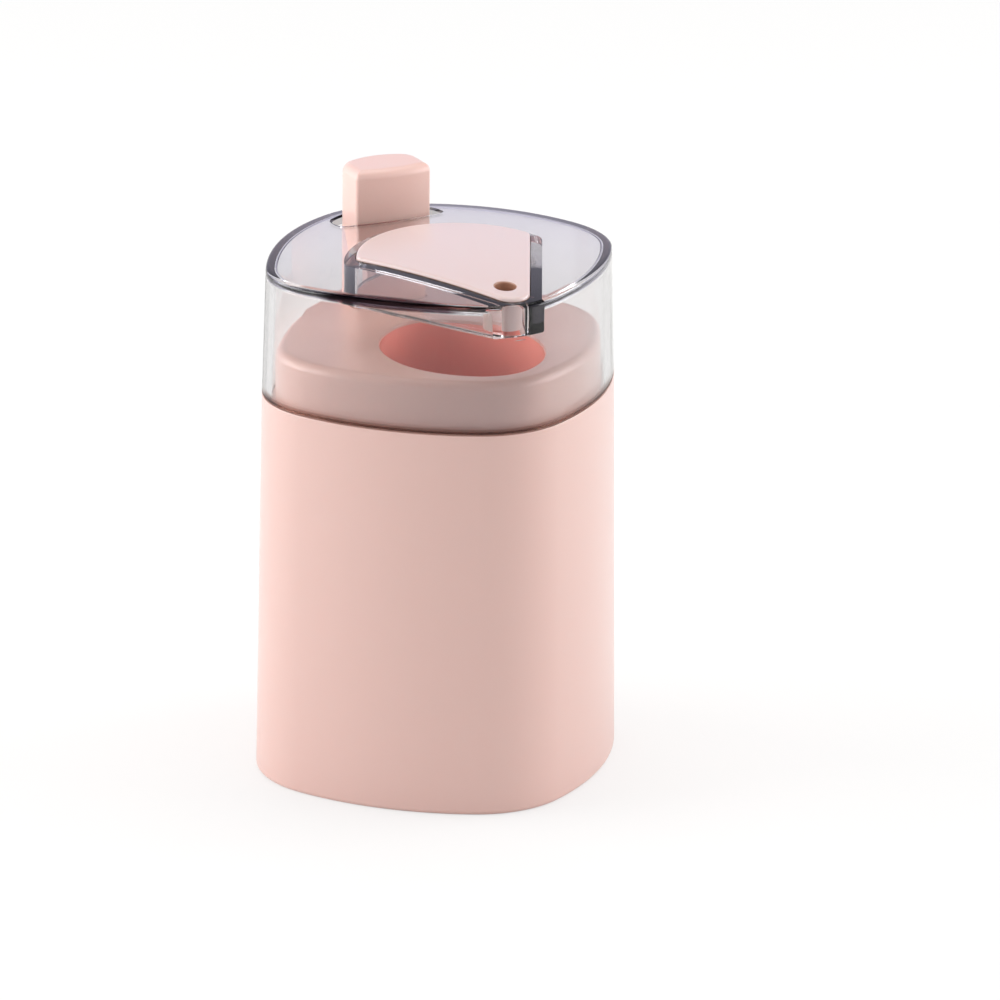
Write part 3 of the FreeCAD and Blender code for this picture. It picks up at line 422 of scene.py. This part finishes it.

# --------------------------------------------------------------- pin and spring
# The lever turns on a steel pin pressed into the base plate's lugs. The spring is
# nine turns of wire between the base plate's boss and the button's ribs; the real one
# closes up as the button is pressed, and here it is drawn at one length.

# Bare drawn steel: a sharp grey gloss broken up by drawing marks 0.25 mm long.
steel, tree = new_material("drawn_steel")
scratches = add_node(tree, "ShaderNodeTexNoise", Scale=4 * per_mm, Detail=2.0)
wear = add_node(tree, "ShaderNodeMapRange", [("Value", scratches.outputs["Fac"])],
                To_Min=0.22, To_Max=0.38)
metal = add_node(tree, "ShaderNodeBsdfPrincipled", [("Roughness", wear.outputs["Result"])],
                 Base_Color=srgb("#c9c9cb"), Metallic=1.0)
add_node(tree, "ShaderNodeOutputMaterial", [("Surface", metal.outputs["BSDF"])])
paint(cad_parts["lever_pin"], steel)

wire_radius, coil_radius, coil_turns, coil_steps = 0.25, 2, 9, 32
coil_low, coil_high = 2.7, 27.7
coil = bpy.data.curves.new("coil", "CURVE")
coil.dimensions = "3D"
coil.bevel_depth = wire_radius
coil.bevel_resolution = 3
coil.use_fill_caps = True
turns = np.linspace(0, coil_turns * 2 * math.pi, coil_turns * coil_steps + 1)
wire = coil.splines.new("POLY")
wire.points.add(len(turns) - 1)
wire.points.foreach_set("co", np.column_stack((
    spring_axis + coil_radius * np.cos(turns), coil_radius * np.sin(turns),
    np.linspace(coil_low, coil_high, len(turns)), np.ones(len(turns)))).ravel())
winding = in_scene("winding", coil)
graph = bpy.context.evaluated_depsgraph_get()
spring = solid_of(bpy.data.meshes.new_from_object(winding.evaluated_get(graph)))
bpy.data.objects.remove(winding)
finish_piece("compression_spring", spring, steel, "base", "return_spring")
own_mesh(spring)

# -------------------------------------------------------------------- lid cover
# One moulding in clear acrylic with a grey tint in its depth: the cover, its crowned
# top, and the well that takes the outlet plate. It lifts off the body's neck.


def fan(grow, count=16):
    """Outline of the outlet plate, grown outwards."""
    tip_centre, back_centre = 23.904, 7.707
    tip, back, corner = 3.1, 16.401, 1.5
    orbit = back - corner
    lean = math.radians(27.3)
    normal = math.pi / 2 - lean
    reach = math.sin(lean) * (tip_centre - back_centre) + tip - corner
    swing = math.pi - math.asin(reach / orbit) - lean
    corner_x, corner_y = back_centre + orbit * math.cos(swing), orbit * math.sin(swing)
    side = np.array((math.cos(normal), math.sin(normal)))
    fore_end = np.array((tip_centre, 0)) + (tip + grow) * side
    aft_end = np.array((corner_x, corner_y)) + (corner + grow) * side
    flip = np.array((1, -1))
    return np.vstack((
        arc_points(tip_centre, 0, tip + grow, -normal, normal, count),
        line_points(fore_end, aft_end, count),
        arc_points(corner_x, corner_y, corner + grow, normal, swing, count),
        arc_points(back_centre, 0, back + grow, swing, 2 * math.pi - swing, 4 * count),
        arc_points(corner_x, -corner_y, corner + grow, -swing, -normal, count),
        line_points(aft_end * flip, fore_end * flip, count)))


def crowned(foot_half, foot, ball, radius, count=6):
    """Rings of a drafted wall that rounds over into a crowned top."""
    lean = math.radians(1.7)
    outline = bowed_square(foot_half)
    normal = bowed_square(foot_half + 1) - outline
    # Where the bend's centre lies depends on its height and the other way round, so
    # they are worked out in turn from a first guess until they settle.
    height = np.full(len(outline), 82.0)
    for _ in range(20):
        back = (height - foot) * math.tan(lean) + radius / math.cos(lean)
        middle = outline - normal * back[:, None]
        height = ball_centre + np.sqrt((ball - radius) ** 2 - (middle ** 2).sum(1))
    centre = np.column_stack((middle, height))
    wall = np.column_stack((normal * math.cos(lean), np.full(len(outline), math.sin(lean))))
    top = centre - np.array((0, 0, ball_centre))
    top /= np.linalg.norm(top, axis=1)[:, None]
    angle = np.arccos((wall * top).sum(1))[:, None]
    rings = [ring(outline, foot)]
    for t in np.linspace(0, 1, count + 1):
        spread = (wall * np.sin((1 - t) * angle) + top * np.sin(t * angle)) / np.sin(angle)
        rings.append(centre + radius * spread)
    return rings + [on_ball(rings[-1][:, :2] - guard * normal, ball)]


# From a polished mould: its faces are clear, with slow ripples 17 mm apart that bend
# what is behind them. Its cut edges, its foot and its front rim are painted darker as shade.
clear, tree = new_material("polished_grey_tinted_acrylic")
place = add_node(tree, "ShaderNodeTexCoord")
flow = add_node(tree, "ShaderNodeTexNoise", [("Vector", place.outputs["Object"])],
                Scale=0.06 * per_mm, Detail=1.0)
ripple = add_node(tree, "ShaderNodeBump", [("Height", flow.outputs["Fac"])],
                  Strength=0.05, Distance=0.2 * mm)

# The walls of the seat and the slot are painted dark grey as shade, and the lid's
# foot is painted pinkish grey as shade where it stands on the shoulder.
height = add_node(tree, "ShaderNodeSeparateXYZ", [("Vector", place.outputs["Object"])])
foot_shade = add_node(tree, "ShaderNodeMapRange", [("Value", height.outputs["Z"])],
                     From_Min=62.75 * mm, From_Max=63.0 * mm)
faces = add_node(tree, "ShaderNodeMix", [("Factor", foot_shade.outputs["Result"]),
                                         (7, by_painted_shade(tree, "#ffffff", "#574a4e"))],
                 data_type="RGBA")
# Below this height the lid is painted pinkish grey: painted shade of the seam on the shoulder.
faces.inputs[6].default_value = srgb("#cebab3")

# The rim over the front wall is seen lengthways and is painted a dark tint as shade.
# The painted shade sets in over the first 18 mm from the left corner.
high = add_node(tree, "ShaderNodeMapRange", [("Value", height.outputs["Z"])],
                From_Min=81.5 * mm, From_Max=81.8 * mm)
fore = add_node(tree, "ShaderNodeMapRange", [("Value", height.outputs["Y"])],
                From_Min=-24.3 * mm, From_Max=-25.0 * mm)
along = add_node(tree, "ShaderNodeMapRange", [("Value", height.outputs["X"])],
                 From_Min=-27 * mm, From_Max=-9 * mm)
front_rim_shade = add_node(tree, "ShaderNodeMath", [(0, high.outputs["Result"]),
                                              (1, fore.outputs["Result"])], operation="MULTIPLY")
front_rim_shade = add_node(tree, "ShaderNodeMath", [(0, front_rim_shade.outputs[0]),
                                              (1, along.outputs["Result"])], operation="MULTIPLY")
faces = add_node(tree, "ShaderNodeMix", [("Factor", front_rim_shade.outputs[0]), (6, faces.outputs[2])],
                 data_type="RGBA")
faces.inputs[7].default_value = srgb("#78666f")
glass = add_node(tree, "ShaderNodeBsdfGlass", [("Normal", ripple.outputs["Normal"]),
                                               ("Color", faces.outputs[2])],
                 Roughness=0.0, IOR=plastic_ior)

# Light on its way to the deck passes straight through and warms a little. Seen
# through the plastic, each millimetre takes out 7 % of the light.
through = add_node(tree, "ShaderNodeBsdfTransparent", Color=(1.0, 0.94, 0.895, 1.0))
path = add_node(tree, "ShaderNodeLightPath")
mixed = add_node(tree, "ShaderNodeMixShader", [(0, path.outputs["Is Shadow Ray"]),
                                               (1, glass.outputs["BSDF"]),
                                               (2, through.outputs["BSDF"])])
tint = add_node(tree, "ShaderNodeVolumeAbsorption", Color=srgb("#969092"), Density=0.1 * per_mm)
add_node(tree, "ShaderNodeOutputMaterial", [("Surface", mixed.outputs["Shader"]),
                                            ("Volume", tint.outputs["Volume"])])

lid_half, lid_foot, rim_round = 26.573, 62.45, 0.7
cavity_half, cavity_foot, cavity_round = 25.103, 61.45, 0.7
crown, panel = 188.15, 1.4
well_foot, well_top, well_wall, ledge, well_break = 77.4, 88, 2.3, 0.5, 0.15
well_out, well_in = well_wall - ledge, -ledge
cavity = lump(crowned(cavity_half, cavity_foot, crown - panel, cavity_round),
              top_ball=crown - panel)
well = lump([ring(fan(well_out - well_break), well_foot),
             ring(fan(well_out), well_foot + well_break), ring(fan(well_out), well_top)])
well_hollow = lump([ring(fan(well_in + 0.75), well_foot + well_break - 0.75),
                    ring(fan(well_in), well_foot + well_break),
                    on_ball(fan(well_in), crown - 0.4)], top_ball=crown - 0.4)

# The seat the plate is snapped into and the slot the button passes through, each
# with its upper edge broken and its walls darkened with painted shade.
seat_depth, seat_gap, seat_break = 0.85, 0.06, 0.08
seat = lump([on_ball(fan(seat_gap), crown - seat_depth),
             on_ball(fan(seat_gap), crown - seat_break),
             on_ball(fan(seat_gap + 0.32), crown - seat_break + 0.32)],
            low_ball=crown - seat_depth, top_ball=crown - seat_break + 0.32, painted_shade=(0.75, 0.75))
slot_gaps, slot_foot, slot_break, beyond = np.array((0.35, 2.4, 0.5)), 76, 0.35, 0.18
slot = lump([ring(post(*slot_gaps), slot_foot), on_ball(post(*slot_gaps), crown - slot_break),
             on_ball(post(*(slot_gaps + slot_break + beyond)), crown + beyond)],
            top_ball=crown + beyond, painted_shade=(0.3, 0.75))
lid = combine(lump(crowned(lid_half, lid_foot, crown, rim_round), top_ball=crown),
              [combine(cavity, [well]), well_hollow, seat, slot])
finish_piece("clear_lid", lid, clear, "lid", "lid_cover")

# ------------------------------------------------------------------ outlet plate
# The fan-shaped pink polypropylene inlay snapped into the lid. It follows the lid's
# crown, its rounded edge stands proud, and a short boss guides the toothpick out.
outlet = 22.404


def circle(radius, count=64):
    """Ring about the outlet."""
    return arc_points(outlet, 0, radius, 0, 2 * math.pi, count)


# Satin and paler than the body, its paleness partly painted sheen of its top. Inside
# the outlet and on the edge that sits in the lid it is painted brown as shade.
plate_plastic = moulded_plastic("satin_inlay_pink_polypropylene", "#e4ccc8", 0.32, 0.15,
                                coat=0.8, bore="#bb8b74")

proud, plate_round, plate_foot = 0.55, 0.45, crown - seat_depth
boss_radius, boss_span = 2.8, (77.8, 83.2)
bore_radius, funnel_radius, funnel_foot, funnel_top = 1.65, 2.325, 77.3, 78.8
# The plate's side below the crown and the walls of the outlet carry painted shade.
plate = lump([on_ball(fan(0), plate_foot), on_ball(fan(0), crown - 0.02)]
             + [on_ball(fan(plate_round * math.cos(b) - plate_round),
                        crown + proud - plate_round + plate_round * math.sin(b)) for b in bends]
             + [on_ball(fan(-plate_round - guard), crown + proud)],
             low_ball=plate_foot, top_ball=crown + proud, painted_shade=(1,))
boss = lump([ring(circle(boss_radius), z) for z in boss_span])
bore = lump([ring(circle(funnel_radius), funnel_foot), ring(circle(bore_radius), funnel_top),
             on_ball(circle(bore_radius), crown + proud - 0.2),
             on_ball(circle(bore_radius + 0.05), crown + proud - 0.07),
             on_ball(circle(bore_radius + 0.3), crown + proud + 0.08)],
            top_ball=crown + proud + 0.08, painted_shade=(1, 1, 1, 1))
inlay = combine(combine(plate, [boss], "UNION"), [bore])
finish_piece("outlet_inlay", inlay, plate_plastic, "lid", "outlet_plate")

# ------------------------------------------------------- floor, light and camera
# A pale paper floor that reads as white, two tall soft lights at the sides and one
# above, and a long lens a little over a metre away.
edge = 3
floor_mesh = bpy.data.meshes.new("floor")
floor_mesh.from_pydata([(-edge, -edge, 0), (edge, -edge, 0), (edge, edge, 0), (-edge, edge, 0)],
                       [], [(0, 1, 2, 3)])
floor = in_scene("floor", floor_mesh)

# Matt white paper. To the camera and through the lid it is part lit and part white
# of its own, so that it meets the backdrop and still holds the object's shadow.
paper, tree = new_material("matt_white_paper")
path = add_node(tree, "ShaderNodeLightPath")
shown = add_node(tree, "ShaderNodeMath", [(0, path.outputs["Is Camera Ray"]),
                                          (1, path.outputs["Is Transmission Ray"])],
                 operation="MAXIMUM")
own_white = 0.6
share = add_node(tree, "ShaderNodeMath", [(0, shown.outputs[0])], operation="MULTIPLY")
share.inputs[1].default_value = own_white
matt = add_node(tree, "ShaderNodeBsdfDiffuse", Color=srgb("#f4f3f2"))
glow = add_node(tree, "ShaderNodeEmission", Color=(1, 1, 1, 1), Strength=1.0)
mixed = add_node(tree, "ShaderNodeMixShader", [(0, share.outputs[0]), (1, matt.outputs["BSDF"]),
                                               (2, glow.outputs["Emission"])])
add_node(tree, "ShaderNodeOutputMaterial", [("Surface", mixed.outputs["Shader"])])
floor_mesh.materials.append(paper)

# The room: white to the camera, even grey-white as light, and in gloss and glass a
# lavender wall that ends in a dark ceiling. Glass sees the ceiling from lower down.
world = bpy.data.worlds.new("studio")
bpy.context.scene.world = world
world.use_nodes = True
tree = world.node_tree
tree.nodes.clear()
path = add_node(tree, "ShaderNodeLightPath")
mirrored = add_node(tree, "ShaderNodeMath", [(0, path.outputs["Is Glossy Ray"]),
                                             (1, path.outputs["Is Transmission Ray"])],
                    operation="MAXIMUM")
sky = add_node(tree, "ShaderNodeTexCoord")
height = add_node(tree, "ShaderNodeSeparateXYZ", [("Vector", sky.outputs["Generated"])])
wall_top = add_node(tree, "ShaderNodeMapRange", [("Value", path.outputs["Is Transmission Ray"])],
                    To_Min=0.45, To_Max=0.25)
above = add_node(tree, "ShaderNodeMath", [(0, height.outputs["Z"]),
                                          (1, wall_top.outputs["Result"])], operation="SUBTRACT")
fade = add_node(tree, "ShaderNodeMapRange", [("Value", above.outputs[0])],
                interpolation_type="SMOOTHSTEP", From_Min=0.0, From_Max=0.3,
                To_Min=1.0, To_Max=0.05)
wall = add_node(tree, "ShaderNodeBackground", [("Strength", fade.outputs["Result"])],
                Color=srgb("#dedaee"))
room = add_node(tree, "ShaderNodeBackground", Color=(1, 1, 1, 1), Strength=0.62)
white = add_node(tree, "ShaderNodeBackground", Color=(1, 1, 1, 1), Strength=1.0)
lit = add_node(tree, "ShaderNodeMixShader", [(0, mirrored.outputs[0]),
                                             (1, room.outputs["Background"]),
                                             (2, wall.outputs["Background"])])
mixed = add_node(tree, "ShaderNodeMixShader", [(0, path.outputs["Is Camera Ray"]),
                                               (1, lit.outputs["Shader"]),
                                               (2, white.outputs["Background"])])
add_node(tree, "ShaderNodeOutputWorld", [("Surface", mixed.outputs["Shader"])])


def soft_light(name, where, aim, size, power):
    """A rectangular softbox at a place, facing a point."""
    lamp = bpy.data.lights.new(name, "AREA")
    lamp.shape = "RECTANGLE"
    lamp.size, lamp.size_y = size
    lamp.energy = power
    box = in_scene(name, lamp)
    box.location = where
    box.rotation_euler = (Vector(where) - Vector(aim)).to_track_quat("Z", "Y").to_euler()
    return box


middle = (0, 0, 0.045)
lights = [soft_light("left_softbox", (-0.76, -0.26, 0.22), middle, (0.75, 0.6), 6.0),
          soft_light("right_softbox", (0.72, 0.34, 0.22), middle, (0.7, 0.6), 4.2),
          soft_light("top_softbox", (0.0, 0.15, 0.85), middle, (0.7, 0.7), 2.4)]

# The camera stands to the right of the front and looks down; it is rolled and
# swung aside by a fraction of a degree.
azimuth, elevation = math.radians(18.293), math.radians(19.321)
distance, aim_height = 1.212392, 0.0415
backward = Vector((math.sin(azimuth) * math.cos(elevation),
                   -math.cos(azimuth) * math.cos(elevation), math.sin(elevation)))
rightward = Vector((0, 0, 1)).cross(backward).normalized()
upward = backward.cross(rightward)
turn = Matrix((rightward, upward, backward)).transposed().to_4x4()
roll = Matrix.Rotation(math.radians(0.423), 4, "Z")
aside = (Matrix.Rotation(math.radians(-0.4626), 4, "Y")
         @ Matrix.Rotation(math.radians(0.0303), 4, "X"))
lens = bpy.data.cameras.new("camera")
lens.sensor_width = 36
lens.lens = 276.892
lens.clip_end = 20
camera = in_scene("camera", lens)
stand = Vector((0, 0, aim_height)) + backward * distance
camera.matrix_world = Matrix.Translation(stand) @ turn @ roll @ aside
bpy.context.scene.camera = camera
bpy.context.scene.view_settings.view_transform = "Standard"
